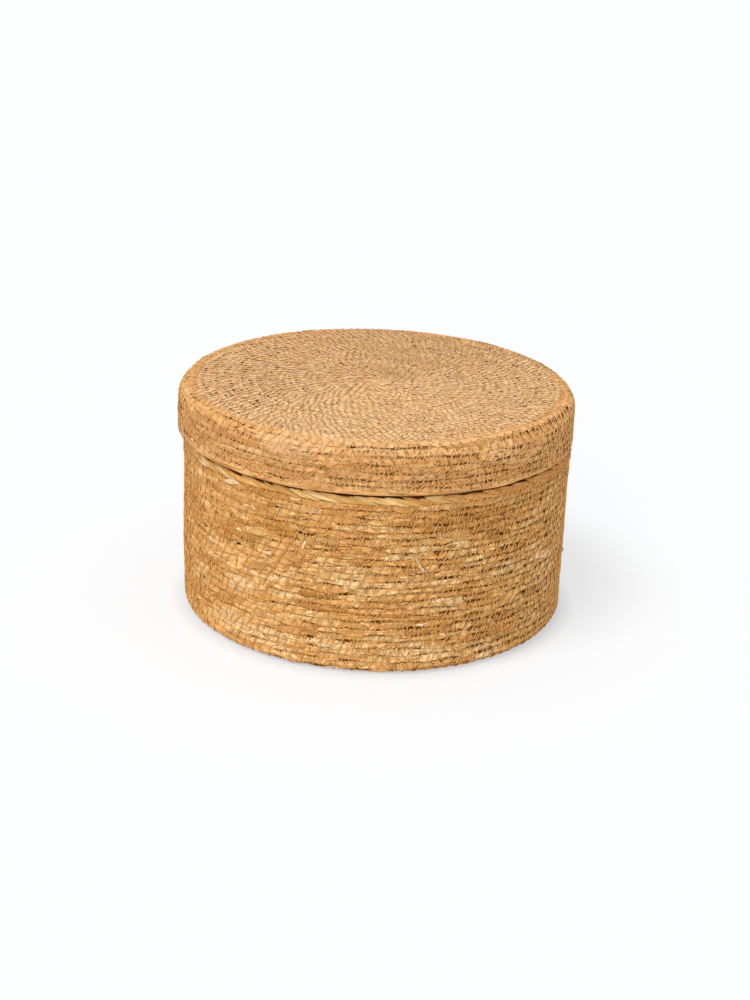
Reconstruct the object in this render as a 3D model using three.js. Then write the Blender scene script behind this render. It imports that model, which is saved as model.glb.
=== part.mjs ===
// A round lidded box, coiled from plant-fibre cord and sewn course to course.
// Millimetres, +Z up. The origin is the centre of the base, on the surface that the box stands on.
import * as THREE from "three";

// Body
const BODY_DIAMETER = 296; // over the wall's courses, at the ledge
const WALL_LEAN = 1.4; // by which the wall leans out from the base to the ledge
const LEDGE_HEIGHT = 138; // floor to the ledge that the lid rests on
const BASE_CORNER_RADIUS = 6.5; // of the cord's centre line, where the base turns up into the wall
const BODY_CORD_THICKNESS = 6; // through the wall
const BODY_CORD_PITCH = 5.8; // from one course to the next
const RIM_CORD_HEIGHT = 6.6; // of the pale cord that makes the ledge
const NECK_OVERLAP = 12; // of the neck behind the wall, below the ledge

// Lid
const LID_HEIGHT = 38; // ledge to the top of the lid
const LID_CORNER_RADIUS = 7.5; // of the cord's centre line, where the top turns down into the skirt
const LID_CORD_THICKNESS = 7; // through the lid
const LID_CORD_PITCH = 7.3; // from one course to the next

// Clearances
const COURSE_GAP = 0.8; // left for the thread between neighbouring courses
const SEAT_GAP = 0.4; // between two pieces that lie against each other
const LID_CLEARANCE = 1.4; // between the neck and the skirt that slides over it
const NECK_HEADROOM = 1; // between the top of the neck and the lid's corner

// Form of the coils
const STEPS = 18; // flats in one turn
const CREST_INSET = 0.7; // by which a course's outer face is narrower, at each edge
const TIP_WIDTH = 0.8; // of a cord where its tapered end stops
const BODY_LAP_STEP = -1; // flat, counted from the front, where the body's cords begin
const LID_LAP_STEP = 2; // flat where the lid's cords begin

// Places that follow from the sizes above
const wallRadius = (BODY_DIAMETER - BODY_CORD_THICKNESS) / 2;
const neckRadius = wallRadius - BODY_CORD_THICKNESS - SEAT_GAP;
const skirtRadius = neckRadius + BODY_CORD_THICKNESS / 2 + LID_CLEARANCE + LID_CORD_THICKNESS / 2;
const baseRadius = wallRadius - WALL_LEAN - BASE_CORNER_RADIUS;
const wallTop = LEDGE_HEIGHT - RIM_CORD_HEIGHT;
const lidTop = LEDGE_HEIGHT + LID_HEIGHT;
const lidMiddle = lidTop - LID_CORD_THICKNESS / 2;
const skirtTop = lidMiddle - LID_CORNER_RADIUS;
const neckTop = skirtTop - NECK_HEADROOM;

// Materials, in the colours of the dried fibre
const fibre = (color) => new THREE.MeshStandardMaterial({ color, roughness: 0.85, metalness: 0 });
const BODY_FIBRE = fibre(0xcf9d62);
const LID_FIBRE = fibre(0xd6a874);
const RIM_FIBRE = fibre(0xdcb878);

// Place of a point of a profile, given as radius and height, at an angle counted from the front.
function spin(point, angle) {
  return new THREE.Vector3(point.x * Math.sin(angle), -point.x * Math.cos(angle), point.y);
}

// Point of a profile at a length along it, moved off it towards the outside of the box.
function offProfile(profile, side, length, offset) {
  const share = THREE.MathUtils.clamp(length / profile.getLength(), 0, 1);
  const tangent = profile.getTangent(share);
  const outward = new THREE.Vector2(tangent.y, -tangent.x).multiplyScalar(side);
  return profile.getPoint(share).addScaledVector(outward, offset);
}

// The four corners of a course that lies between two lengths along its profile.
function section(profile, side, low, high, thickness) {
  const inset = Math.min(CREST_INSET, (high - low) / 4);
  const half = thickness / 2;
  return {
    innerLow: offProfile(profile, side, low, -half),
    innerHigh: offProfile(profile, side, high, -half),
    outerHigh: offProfile(profile, side, high - inset, half),
    outerLow: offProfile(profile, side, low + inset, half),
  };
}

// Joins rings of four points into one closed tube.
function tube(rings, side) {
  const corners = rings[0].length;
  const triangles = [];
  const face = (a, b, c) => triangles.push(...(side > 0 ? [a, b, c] : [a, c, b]));
  for (let ring = 0; ring + 1 < rings.length; ring += 1) {
    for (let corner = 0; corner < corners; corner += 1) {
      const here = ring * corners + corner;
      const beside = ring * corners + ((corner + 1) % corners);
      face(here, beside, here + corners);
      face(beside, beside + corners, here + corners);
    }
  }
  const last = (rings.length - 1) * corners;
  for (let corner = 1; corner + 1 < corners; corner += 1) {
    face(0, corner + 1, corner);
    face(last, last + corner, last + corner + 1);
  }
  const geometry = new THREE.BufferGeometry().setFromPoints(rings.flat());
  geometry.setIndex(triangles);
  return geometry;
}

// Least distance from a coil to its own next turn, taken between the corners that face each other.
function leastGap(sections) {
  let least = Infinity;
  for (let step = 0; step + STEPS < sections.length; step += 1) {
    const here = sections[step];
    const next = sections[step + STEPS];
    const inner = here.innerHigh.distanceTo(next.innerLow);
    const outer = here.outerHigh.distanceTo(next.outerLow);
    least = Math.min(least, inner, outer);
  }
  return least;
}

// A cord laid course after course along a profile, as one unbroken tube from end to end of that profile.
// Its first and last turns taper, so that the coil starts and stops at a level edge.
function coil(name, profile, { side, thickness, pitch, lapStep, material }) {
  const length = profile.getLength();
  const courses = Math.max(1, Math.round(length / pitch));
  const advance = length / courses;
  const edge = (turn) => THREE.MathUtils.clamp(turn * advance, 0, length);
  const tipTurns = (TIP_WIDTH + COURSE_GAP) / advance;
  const firstStep = Math.ceil(tipTurns * STEPS);
  const lastStep = Math.floor((courses + 1 - tipTurns) * STEPS);
  const sections = [];
  const rings = [];
  for (let step = firstStep; step <= lastStep; step += 1) {
    const turn = step / STEPS;
    const low = edge(turn - 1) + COURSE_GAP / 2;
    const high = edge(turn) - COURSE_GAP / 2;
    const angle = ((step + lapStep) / STEPS) * 2 * Math.PI;
    const corners = section(profile, side, low, high, thickness);
    sections.push(corners);
    rings.push(Object.values(corners).map((corner) => spin(corner, angle)));
  }
  const turns = (lastStep - firstStep) / STEPS;
  console.log(`${name}: ${turns.toFixed(1)} turns, least gap ${leastGap(sections).toFixed(2)} mm`);
  const mesh = new THREE.Mesh(tube(rings, side), material);
  mesh.name = name;
  return mesh;
}

// One level turn of cord, whose two ends butt together.
function hoop(name, profile, { side, thickness, lapStep, material }) {
  const high = profile.getLength() - COURSE_GAP / 2;
  const corners = section(profile, side, COURSE_GAP / 2, high, thickness);
  const joint = COURSE_GAP / corners.innerLow.x;
  const rings = [];
  for (let step = 0; step <= STEPS; step += 1) {
    const turned = Math.min((step / STEPS) * 2 * Math.PI, 2 * Math.PI - joint);
    const angle = turned + (lapStep / STEPS) * 2 * Math.PI;
    rings.push(Object.values(corners).map((corner) => spin(corner, angle)));
  }
  const mesh = new THREE.Mesh(tube(rings, side), material);
  mesh.name = name;
  return mesh;
}

// The coiled base, as the flat disc that its courses fill.
function baseDisc() {
  const outline = [
    new THREE.Vector2(0, 0),
    new THREE.Vector2(baseRadius, 0),
    new THREE.Vector2(baseRadius, BODY_CORD_THICKNESS),
    new THREE.Vector2(0, BODY_CORD_THICKNESS),
  ];
  const mesh = new THREE.Mesh(new THREE.LatheGeometry(outline, STEPS), BODY_FIBRE);
  mesh.name = "base_disc";
  mesh.rotation.x = Math.PI / 2;
  return mesh;
}

const bodyCord = {
  side: 1,
  thickness: BODY_CORD_THICKNESS,
  pitch: BODY_CORD_PITCH,
  lapStep: BODY_LAP_STEP,
  material: BODY_FIBRE,
};

// The wall turns up from the base and rises to the ledge.
function wallCoil() {
  const cornerHeight = BODY_CORD_THICKNESS / 2 + BASE_CORNER_RADIUS;
  const profile = new THREE.Path()
    .absarc(baseRadius, cornerHeight, BASE_CORNER_RADIUS, -Math.PI / 2, 0, false)
    .lineTo(wallRadius, wallTop);
  return coil("wall_coil", profile, bodyCord);
}

// The pale cord on top of the wall, which the lid's skirt rests on.
function rimCord() {
  const profile = new THREE.Path().moveTo(wallRadius, wallTop).lineTo(wallRadius, LEDGE_HEIGHT);
  return hoop("rim_cord", profile, { ...bodyCord, material: RIM_FIBRE });
}

// The neck lines the top of the wall and stands above the ledge, inside the lid.
function neckCoil() {
  const neckFoot = LEDGE_HEIGHT - NECK_OVERLAP;
  const profile = new THREE.Path().moveTo(neckRadius, neckFoot).lineTo(neckRadius, neckTop);
  return coil("neck_coil", profile, bodyCord);
}

const lidCord = {
  side: -1,
  thickness: LID_CORD_THICKNESS,
  pitch: LID_CORD_PITCH,
  lapStep: LID_LAP_STEP,
  material: LID_FIBRE,
};

// The lid's top spirals out from its centre, and its last courses turn down over the edge.
function lidTopCoil() {
  const profile = new THREE.Path()
    .moveTo(0, lidMiddle)
    .lineTo(skirtRadius - LID_CORNER_RADIUS, lidMiddle)
    .absarc(skirtRadius - LID_CORNER_RADIUS, skirtTop, LID_CORNER_RADIUS, Math.PI / 2, 0, true);
  return coil("lid_top_coil", profile, lidCord);
}

// The skirt hangs from the lid's corner to the ledge.
function lidSkirtCoil() {
  const profile = new THREE.Path().moveTo(skirtRadius, skirtTop).lineTo(skirtRadius, LEDGE_HEIGHT);
  return coil("lid_skirt_coil", profile, lidCord);
}

const body = new THREE.Group();
body.add(baseDisc(), wallCoil(), rimCord(), neckCoil());

const lid = new THREE.Group();
lid.add(lidTopCoil(), lidSkirtCoil());

const box = new THREE.Group();
box.add(body, lid);

export default box;
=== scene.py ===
"""Looks of a round lidded box, coiled from plant-fibre cord and sewn with zigzag thread."""
import math

import bpy
import numpy as np
from mathutils import Matrix, Vector


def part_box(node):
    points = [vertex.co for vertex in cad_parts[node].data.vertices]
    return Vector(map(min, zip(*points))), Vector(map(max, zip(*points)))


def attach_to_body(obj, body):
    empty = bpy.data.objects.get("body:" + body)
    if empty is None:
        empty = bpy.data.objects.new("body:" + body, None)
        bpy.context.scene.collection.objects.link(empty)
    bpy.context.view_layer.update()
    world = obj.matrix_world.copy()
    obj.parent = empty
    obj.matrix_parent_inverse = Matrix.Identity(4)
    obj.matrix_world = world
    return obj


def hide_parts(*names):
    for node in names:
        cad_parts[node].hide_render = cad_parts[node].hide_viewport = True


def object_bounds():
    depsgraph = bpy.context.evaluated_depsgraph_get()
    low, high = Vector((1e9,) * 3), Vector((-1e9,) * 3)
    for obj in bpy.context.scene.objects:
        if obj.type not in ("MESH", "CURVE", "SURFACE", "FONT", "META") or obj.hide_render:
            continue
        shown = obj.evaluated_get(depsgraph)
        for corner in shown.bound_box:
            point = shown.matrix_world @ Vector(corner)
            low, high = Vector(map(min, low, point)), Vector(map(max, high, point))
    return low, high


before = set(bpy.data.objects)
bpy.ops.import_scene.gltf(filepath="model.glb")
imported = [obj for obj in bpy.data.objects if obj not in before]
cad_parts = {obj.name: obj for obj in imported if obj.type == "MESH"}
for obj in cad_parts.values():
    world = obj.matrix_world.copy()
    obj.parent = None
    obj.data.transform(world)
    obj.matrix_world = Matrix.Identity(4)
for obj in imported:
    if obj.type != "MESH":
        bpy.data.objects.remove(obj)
cad_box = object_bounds()

MM = 0.001
TURN = 2 * math.pi

# Sizes of the frame
base_low, base_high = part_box("base_disc")
_, wall_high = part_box("wall_coil")
rim_low, rim_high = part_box("rim_cord")
neck_low, neck_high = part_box("neck_coil")
_, top_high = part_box("lid_top_coil")
skirt_low, skirt_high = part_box("lid_skirt_coil")

BODY_CORD = base_high.z - base_low.z
LID_CORD = 7.0 * MM
SEAM = rim_low.z - wall_high.z
LEDGE = rim_high.z + SEAM / 2
WALL_RADIUS = -rim_low.y - BODY_CORD / 2
BASE_RADIUS = -base_low.y
WALL_LEAN = 1.4 * MM
NECK_RADIUS = -neck_low.y - BODY_CORD / 2
SKIRT_RADIUS = -skirt_low.y - LID_CORD / 2
BODY_BEND = WALL_RADIUS - WALL_LEAN - BASE_RADIUS
LID_BEND = top_high.z - LID_CORD / 2 - (skirt_high.z + SEAM / 2)

# Spacing of the courses and of the stitches, and the thread
BODY_PITCH = 5.3 * MM
LID_PITCH = 5.6 * MM
TOP_PITCH = 5.0 * MM
BODY_STITCH = 8.2 * MM
LID_STITCH = 7.6 * MM
TOP_STITCH = 5.2 * MM
BODY_REACH = 1.65
LID_REACH = 1.06
THREAD_RADIUS = 0.45 * MM

# Where the cords begin, counted from the front towards the right
BODY_LAP = math.radians(-27)
LID_LAP = math.radians(37)


def linear(*rgb):
    """A colour given as 0 to 255 on the screen, as the light that a shader works with."""
    share = np.array(rgb) / 255
    return np.where(share <= 0.04045, share / 12.92, ((share + 0.055) / 1.055) ** 2.4)


# Shapes of the box

ARC_POINTS = 33


def rounded(start, corner, end, bend):
    """Points from start to end that turn round the corner on an arc."""
    start, corner, end = (np.array(p, float) for p in (start, corner, end))
    into = (corner - start) / np.linalg.norm(corner - start)
    out = (end - corner) / np.linalg.norm(end - corner)
    turn = math.acos(into @ out)
    begin = corner - into * bend * math.tan(turn / 2)
    side = (out - into * (into @ out)) / math.sin(turn)
    angle = np.linspace(0, turn, ARC_POINTS)
    arc = begin + np.outer(bend * np.sin(angle), into) + np.outer(bend * (1 - np.cos(angle)), side)
    return np.vstack([start, arc, end])


class Profile:
    """A path of radius and height through the middle of the cord, with the normal that points outside."""

    SPACING = 0.25 * MM

    def __init__(self, points, outward):
        points = np.array(points, float)
        self.outward = outward
        marks = np.concatenate([[0], np.cumsum(np.linalg.norm(np.diff(points, axis=0), axis=1))])
        self.length = marks[-1]
        self.marks = np.linspace(0, self.length, int(self.length / self.SPACING) + 1)
        self.place = [np.interp(self.marks, marks, points[:, i]) for i in (0, 1)]
        tangent = np.gradient(np.stack(self.place, 1), axis=0)
        tangent /= np.linalg.norm(tangent, axis=1)[:, None]
        self.normal = [outward * tangent[:, 1], -outward * tangent[:, 0]]

    def at(self, s, lift):
        """Radius and height at a length along the path, lifted off it."""
        radius, height = (
            np.interp(s, self.marks, place) + lift * np.interp(s, self.marks, normal)
            for place, normal in zip(self.place, self.normal)
        )
        return radius, height

    def length_at_radius(self, radius):
        return float(np.interp(radius, self.place[0], self.marks))

    def length_at_height(self, height):
        return float(np.interp(height, self.place[1], self.marks))


def body_swell(angle, height):
    """How far the hand-sewn body departs from a true circle."""
    wave = 0.3 * np.sin(2 * angle + 0.7) + 0.25 * np.sin(3 * angle + 2.1)
    ripple = 0.2 * np.sin(5 * angle + 40 * height + 0.4) + 0.2 * np.sin(9 * angle - 75 * height)
    return (wave + ripple) * MM


def lid_swell(angle, height):
    """The lid is a little wider than true, most of all on its left."""
    wave = 0.9 - 1.1 * np.sin(angle) + 0.3 * np.sin(3 * angle + 0.4)
    ripple = 0.2 * np.sin(6 * angle + 60 * height) + 0.2 * np.sin(11 * angle - 90 * height + 1.0)
    return (wave + ripple) * MM


def even(angle, place):
    """No change anywhere."""
    return 0.0 * angle


def lid_sag(angle, height):
    """The foot of the lid waves up and down a little, and stands off the ledge at its left and right."""
    share = np.clip((lid_middle - height) / (lid_middle - LID_FOOT), 0, 1)
    wave = 0.2 * np.sin(4 * angle + 0.6) + 0.2 * np.sin(7 * angle + 2.0)
    off = 0.4 * np.exp(3 * np.cos(angle - 0.7) - 3) + 0.8 * np.exp(5 * np.cos(angle + 0.85) - 5)
    return share * (wave + off) * MM


class Coil:
    """A cord wound course after course over a stretch of a profile, tapered where it starts and stops."""

    STEPS = 72  # in one turn
    SKIN_DEPTH = 0.3 * MM  # of the strips, below the face of the cord
    VALLEY_WIDTH = 0.3  # as a share of a course's half

    def __init__(self, profile, start, stop, pitch, lap, cord, swell, sag, wander, valley=0.1 * MM):
        self.profile, self.start, self.lap = profile, start, lap
        self.cord, self.valley = cord, valley
        self.swell, self.sag, self.wander = swell, sag, wander
        self.span = stop - start
        self.courses = max(1, round(self.span / pitch))
        self.advance = self.span / self.courses
        self.turns = np.linspace(0, self.courses + 1, self.STEPS * (self.courses + 1) + 1)
        low, high = self.edges(self.turns)
        self.radii = profile.at((low + high) / 2, 0)[0]
        steps = np.diff(self.turns) * TURN * (self.radii[1:] + self.radii[:-1]) / 2
        self.runs = np.concatenate([[0], np.cumsum(steps)])
        self.length = self.runs[-1]

    def edges(self, turn):
        """Lengths along the profile between which the course lies."""
        low = self.start + np.clip((turn - 1) * self.advance, 0, self.span)
        high = self.start + np.clip(turn * self.advance, 0, self.span)
        return low, high

    def seam(self, turn):
        return self.edges(turn)[1]

    def turn_at(self, run):
        return np.interp(run, self.runs, self.turns)

    def turn_through(self, angle, s):
        """The turn whose course covers a place."""
        share = (angle - self.lap) / TURN % 1
        return share + np.ceil((s - self.start) / self.advance - share)

    def skin(self, across):
        """Height of the strips over the profile: flat along the course, with a valley at each seam."""
        valley = self.valley * np.exp(-(((np.abs(across) - 1) / self.VALLEY_WIDTH) ** 2))
        return self.cord / 2 - self.SKIN_DEPTH - valley

    def point(self, turn, s, lift):
        """Place in space at a length along the profile and a height over it, as uneven as hand work is."""
        turn, s, lift = np.broadcast_arrays(turn, s, lift)
        angle = self.lap + TURN * turn
        room = np.clip((s - self.start) * (self.start + self.span - s) / self.advance**2, 0, 1)
        weave = 0.4 * np.sin(4 * angle + 310 * s + 1.3) + 0.3 * np.sin(7 * angle - 190 * s + 0.4)
        ripple = np.sin(23 * angle + 700 * s) + 0.7 * np.sin(37 * angle - 1150 * s + 2.0)
        weave = weave + self.wander * ripple
        radius, height = self.profile.at(s + weave * room * MM, lift)
        radius = radius + self.swell(angle, height) * np.clip(radius / WALL_RADIUS, 0, 1) ** 2
        height = height + self.sag(angle, height)
        return np.stack([radius * np.sin(angle), -radius * np.cos(angle), height], -1)


class Hoop(Coil):
    """One level course, whose two ends meet."""

    def __init__(self, *stretch, **look):
        super().__init__(*stretch, **look)
        self.length = TURN * self.radii[0]

    def edges(self, turn):
        return self.start + 0 * turn, self.start + self.span + 0 * turn

    def turn_at(self, run):
        return run / self.length


class Sewing:
    """A zigzag thread along a seam: its needle holes, and where it lies between them."""

    FAR = 9 * MM
    HOLD = 0.75 * MM  # beside the thread, where it holds the leaf down

    def __init__(self, coil, rng, turns, stitch, reach, sunken, seam=None, loose=1.0):
        """Every second strand is sunken: the even ones for 0, the odd ones for 1."""
        self.coil, self.stitch, self.sunken, self.loose = coil, stitch, sunken, loose
        self.seam = seam or coil.seam
        begin, end = np.interp(turns, coil.turns, coil.runs)
        count = max(4, int((end - begin) / (stitch / 2)))
        run = np.linspace(begin, end, count + 1)
        uneven = smooth_noise(rng, run - begin, 0.4) * 0.25 + rng.normal(0, 0.1 * loose, count + 1)
        self.holes = np.sort(coil.turn_at(run + uneven * stitch))
        self.counts = np.arange(count + 1)
        self.reach = reach * coil.advance / 2
        self.throw = np.where(self.counts % 2, 1, -1) * self.reach * rng.normal(1, 0.08 * loose, count + 1)
        self.lean = 1 / math.hypot(1, 4 * self.reach / stitch)

    def zigzag(self, turn):
        return self.seam(turn) + np.interp(turn, self.holes, self.throw)

    def count(self, turn):
        """Needle holes up to there, as a number that is whole at each hole."""
        return np.interp(turn, self.holes, self.counts)

    def where_sewn(self, turn, distance):
        return np.where((turn > self.holes[0]) & (turn < self.holes[-1]), distance, self.FAR)

    def off(self, turn, s):
        """Distance from the seam, towards the next course."""
        return self.where_sewn(turn, s - self.seam(turn))

    def near(self, turn, s):
        """Distance from the thread."""
        return self.where_sewn(turn, np.abs(s - self.zigzag(turn)) * self.lean)

    def pull(self, turn, s):
        """One under the threads at both edges of a course, and zero away from them."""
        near = np.minimum(self.near(turn - 1, s), self.near(turn, s))
        return np.exp(-((near / self.HOLD) ** 2))

    def mark(self, turn, s, open_by):
        """For the shaders: needle holes so far, and in millimetres the distance off the seam and its gap."""
        return np.stack(np.broadcast_arrays(self.count(turn), self.off(turn, s) / MM, open_by), -1)


def ranked(values):
    """The place of each value in their order, from 0 to 1."""
    return np.argsort(np.argsort(values)) / len(values)


class Gape:
    """How wide the gap between two courses is at each stitch of their seam. The strips are not moved apart:
    the gap is painted shade on them, the dark that shows in a gap.
    """

    def __init__(self, sewing, rng, share, most, lean, single=0.5):
        self.sewing, coil = sewing, sewing.coil
        run = np.interp(sewing.holes, coil.turns, coil.runs)
        wish = smooth_noise(rng, run, 35 * MM) + rng.normal(0, single, len(run))
        leaning = lean(coil.lap + TURN * sewing.holes, sewing.holes / coil.courses)
        opened = np.clip((ranked(wish + leaning) - 1 + share) / share, 0, 1) ** 0.5
        self.width = most * opened * rng.uniform(0.4, 1, len(run)) * (1 + 0.2 * leaning)

    def at(self, turn):
        return self.width[np.rint(self.sewing.count(turn)).astype(int)]


def smooth_noise(rng, run, spacing):
    """A wandering value between about -1 and 1 that changes over the given spacing."""
    knots = rng.normal(0, 0.6, int(run.max() / spacing) + 3)
    place = run / spacing
    low = np.floor(place).astype(int)
    share = place - low
    share = share * share * (3 - 2 * share)
    return knots[low] * (1 - share) + knots[low + 1] * share


base_middle = BODY_CORD / 2
body_corner = (WALL_RADIUS - WALL_LEAN, base_middle)
body_profile = Profile(
    rounded((0, base_middle), body_corner, (WALL_RADIUS, LEDGE), 0.7 * BODY_BEND), outward=1
)
BASE_EDGE = body_profile.length_at_radius(BASE_RADIUS)
RIM_EDGE = body_profile.length - (LEDGE - rim_low.z) - SEAM / 2

neck_profile = Profile(
    [(NECK_RADIUS, neck_low.z - SEAM / 2), (NECK_RADIUS, neck_high.z + SEAM / 2)], outward=1
)

LID_FOOT = LEDGE + SEAM / 2 + 0.9 * MM
lid_middle = top_high.z - LID_CORD / 2
lid_corner = (SKIRT_RADIUS - 0.8 * MM, lid_middle)
lid_profile = Profile(rounded((0, lid_middle), lid_corner, (SKIRT_RADIUS, LID_FOOT), LID_BEND), outward=-1)
SKIRT_EDGE = lid_profile.length - (skirt_high.z - skirt_low.z) - SEAM / 2
CORNER_EDGE = SKIRT_EDGE - 11 * MM

body_look = {"cord": BODY_CORD, "lap": BODY_LAP, "swell": body_swell, "sag": even, "wander": 0.45}
lid_look = {"cord": LID_CORD, "lap": LID_LAP, "swell": lid_swell, "sag": lid_sag, "wander": 0.2}
base = Coil(body_profile, 0, BASE_EDGE, BODY_PITCH, **body_look)
wall = Coil(body_profile, BASE_EDGE, RIM_EDGE, BODY_PITCH, **body_look)
neck = Coil(neck_profile, 0, neck_profile.length, BODY_PITCH, **body_look)
lid_top = Coil(lid_profile, 0, CORNER_EDGE, TOP_PITCH, **lid_look)
lid_skirt = Coil(lid_profile, CORNER_EDGE, lid_profile.length, LID_PITCH, **lid_look)


# Meshes


class MeshData:
    """Vertices, faces, colours and grain of one piece, gathered from many small shells."""

    FIELDS = ("point", "tint", "grain", "seam_below", "seam_above")
    NO_SEAM = (0.0, 9.0, 0.0)
    SETTLE = 0.5 * MM  # below this height, leaf is pressed flatter on the floor
    CRISP = 0.99  # edge values from here on are at the sharp edge of a strip

    def __init__(self):
        self.fields = {name: [] for name in self.FIELDS}
        self.corners, self.sizes = [], []
        self.count = 0

    def add(self, points, tints, grains, quads, triangles=(), *seams):
        """A tint's fourth value goes from -1 at a strip's lower edge to 1. The seams are those beside it."""
        for faces, size in ((quads, 4), (triangles, 3)):
            if len(faces):
                self.corners.append((np.asarray(faces) + self.count).ravel())
                self.sizes.append(np.full(len(faces), size))
        seams = seams or [np.tile(self.NO_SEAM, (len(points), 1))] * 2
        for name, values in zip(self.FIELDS, (points, tints, grains, *seams)):
            self.fields[name].append(values)
        self.count += len(points)

    def build(self, name, material, body, lowest=None):
        fields = {key: np.concatenate(values).astype(np.float32) for key, values in self.fields.items()}
        points, tints = fields.pop("point"), fields.pop("tint")
        if lowest is not None:
            rise = (points[:, 2] - lowest) / self.SETTLE
            pressed = np.where(rise < 1, np.exp(np.minimum(rise, 1) - 1), rise)
            points[:, 2] = lowest + self.SETTLE * pressed
        corners = np.concatenate(self.corners).astype(np.int32)
        sizes = np.concatenate(self.sizes).astype(np.int32)
        mesh = bpy.data.meshes.new(name)

        def attach(attribute, kind, domain, field, values):
            mesh.attributes.new(attribute, kind, domain).data.foreach_set(field, values.ravel())

        mesh.vertices.add(len(points))
        mesh.vertices.foreach_set("co", points.ravel())
        mesh.loops.add(len(corners))
        mesh.loops.foreach_set("vertex_index", corners)
        mesh.polygons.add(len(sizes))
        mesh.polygons.foreach_set("loop_start", np.cumsum(sizes, dtype=np.int32) - sizes)
        mesh.polygons.foreach_set("loop_total", sizes)
        mesh.polygons.foreach_set("use_smooth", np.ones(len(sizes), bool))
        attach("tint", "FLOAT_COLOR", "POINT", "color", tints)
        for key, values in fields.items():
            attach(key, "FLOAT_VECTOR", "POINT", "vector", values)
        mesh.update(calc_edges=True)
        ends = np.zeros(2 * len(mesh.edges), np.int32)
        mesh.edges.foreach_get("vertices", ends)
        crisp = np.abs(tints[ends, 3]).reshape(-1, 2).min(1) > self.CRISP
        attach("sharp_edge", "BOOLEAN", "EDGE", "value", crisp)
        mesh.validate()
        mesh.materials.append(material)
        piece = bpy.data.objects.new(name, mesh)
        bpy.context.scene.collection.objects.link(piece)
        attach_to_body(piece, body)
        return piece


def ring_faces(shells, rings, sides, flip=False, closed_ends=True):
    """Faces that join rings of points, and close their ends, for shells laid out one after the other."""
    order = -1 if flip else 1
    ring = np.arange(rings - 1)[:, None] * sides
    side = np.arange(sides)
    beside = (side + 1) % sides
    corners = [ring + side, ring + beside, ring + beside + sides, ring + side + sides]
    size = rings * sides + (2 if closed_ends else 0)
    starts = np.arange(shells)[:, None, None] * size
    quads = (np.stack(corners, -1).reshape(-1, 4) + starts).reshape(-1, 4)
    if not closed_ends:
        return quads, ()
    tip, tail = rings * sides, (rings - 1) * sides
    near = np.stack([np.full(sides, tip), beside, side], -1)
    far = np.stack([np.full(sides, tip + 1), tail + side, tail + beside], -1)
    triangles = (np.concatenate([near, far]) + starts).reshape(-1, 3)
    return quads[:, ::order], triangles[:, ::order]


# Colours of the dried leaf, as in the photograph, each with its share of a cord
LEAF = {
    "brown": (linear(192, 134, 72), 0.14),
    "orange": (linear(216, 156, 90), 0.25),
    "tan": (linear(226, 172, 110), 0.31),
    "olive": (linear(214, 172, 106), 0.05),
    "gold": (linear(230, 184, 124), 0.17),
    "cream": (linear(235, 196, 148), 0.08),
}
LEAF_TINTS = np.array([tint for tint, _ in LEAF.values()])
LEAF_SHARES = np.array([share for _, share in LEAF.values()])
CREAM = linear(236, 198, 150)
# The lid top's paler, greyer wash is in part painted sheen: the paleness of leaf seen at a grazing angle.
TOP_WASH = linear(232, 192, 146)
SKIRT_WASH = linear(226, 172, 114)
# Painted shade: the core's dark brown stands for the shade that shows between the strips.
CORE_SHADE_TINT = linear(86, 52, 22)
EDGE_TINT = linear(206, 154, 96)  # of the cord where a coil ends
THREAD_TINT = linear(230, 176, 106)
FEW_TINTS = {
    "rim": ((228, 180, 110), (220, 168, 98), (238, 200, 140), (214, 156, 86)),
    "fleck": ((240, 208, 162), (236, 198, 146), (234, 204, 166), (150, 96, 48)),
}


def patchy(angle, s):
    """Areas of one tone that spread over several courses."""
    tone = np.sin(7 * angle + 150 * s + 1) + np.sin(11 * angle - 230 * s + 4)
    return (tone + np.sin(17 * angle + 95 * s + 2) + np.sin(23 * angle - 330 * s)) / 2


# Paler and darker areas, as angle in degrees, height in millimetres, reach of both, and paleness. The broad
# areas at the wall's left (darker) and right (paler) and at the lid's left (darker) are painted shade and
# painted light against how the lamps light those sides; the lid is darker towards its back; the rest are
# patches of paler or darker leaf.
WALL_AREAS = (
    (-74, 70, 20, 90, -0.45),
    (75, 70, 25, 90, 0.4),
    (0, 15, 50, 14, 0.45),
    (-36, 72, 9, 14, 0.35),
    (-32, 22, 12, 12, 0.3),
    (-2, 78, 16, 10, 0.35),
    (28, 78, 7, 8, 0.5),
    (57, 63, 10, 14, 0.4),
    (22, 116, 18, 18, -0.6),
    (34, 42, 10, 10, -0.6),
    (47, 27, 10, 12, -0.5),
    (-37, 116, 12, 12, -0.4),
)
LID_AREAS = ((-85, 160, 40, 100, -0.35), (165, 175, 60, 20, -1.0), (0, 174, 400, 7, 0.8))


def paleness(angle, height, areas):
    total = 0.0 * angle
    for middle, level, wide, high, amount in areas:
        aside = (np.degrees(angle) - middle + 180) % 360 - 180
        total = total + amount * np.exp(-((aside / wide) ** 2) - ((height / MM - level) / high) ** 2)
    return total


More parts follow.
